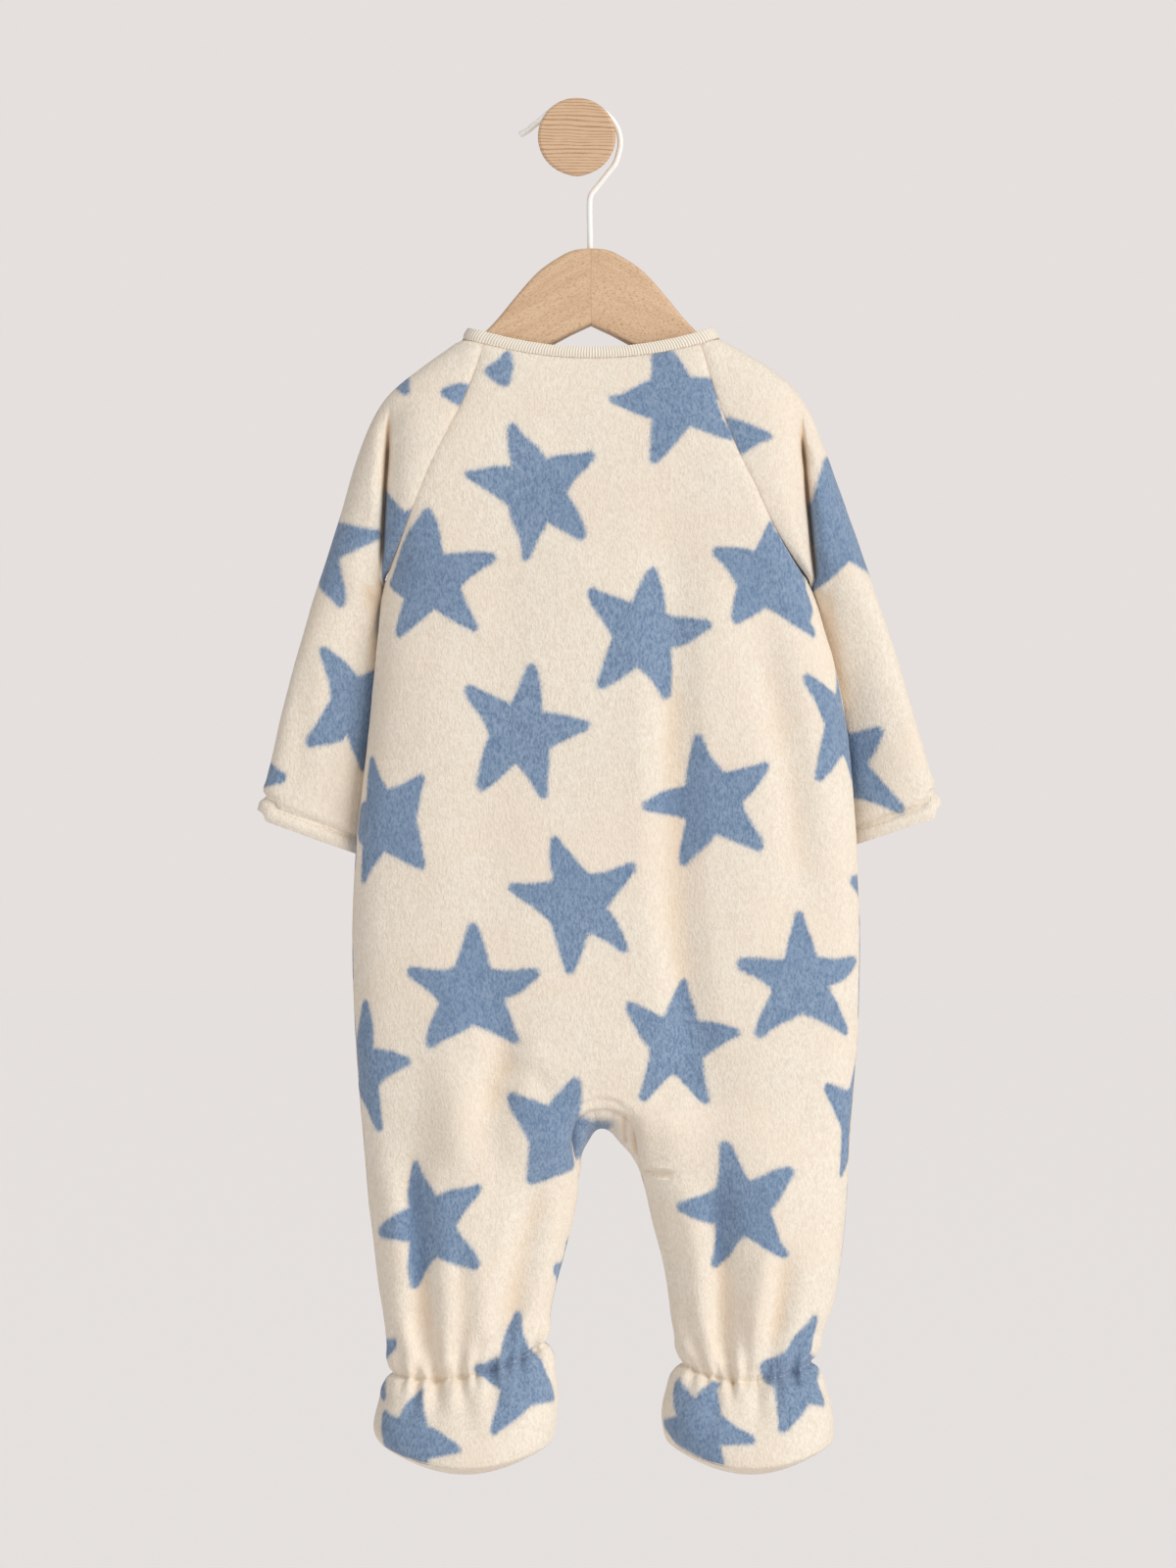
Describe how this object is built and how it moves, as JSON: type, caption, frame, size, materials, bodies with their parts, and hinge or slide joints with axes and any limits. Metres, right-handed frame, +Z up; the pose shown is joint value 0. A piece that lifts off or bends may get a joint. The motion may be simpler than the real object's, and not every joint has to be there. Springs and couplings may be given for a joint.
{
  "type": "footed baby sleepsuit on a hanger and wall peg",
  "caption": "Footed baby sleepsuit in star-patterned fleece, hung on a wooden hanger whose wire hook rests over a round wall peg.",
  "frame": {"origin": "centre of the peg's flat back face, on the wall", "axes": "+Z up, +Y into the wall, +X to the right of someone facing the wall; the suit hangs with its back to the room"},
  "size_m": [0.354, 0.072, 0.7002],
  "materials": {
    "fleece": "plush fleece, cream with blue stars",
    "rib": "ribbed knit, cream",
    "beech": "satin",
    "pale_oak": "oiled matt",
    "white_wire": "white coating, satin",
    "popper": "matt white"
  },
  "bodies": {
    "root": {"back": "fleece", "crotch_gusset": "fleece", "foot_upper_left": "fleece", "foot_upper_right": "fleece", "front_left": "fleece", "front_right": "fleece", "hanger": "beech", "hook": "white_wire", "neckband": "rib", "peg": "pale_oak", "placket": "fleece", "popper_1": "popper", "popper_2": "popper", "popper_3": "popper", "popper_4": "popper", "popper_5": "popper", "popper_6": "popper", "popper_7": "popper", "sleeve_left": "fleece", "sleeve_right": "fleece", "sole_left": "fleece", "sole_right": "fleece"}
  },
  "joints": []
}
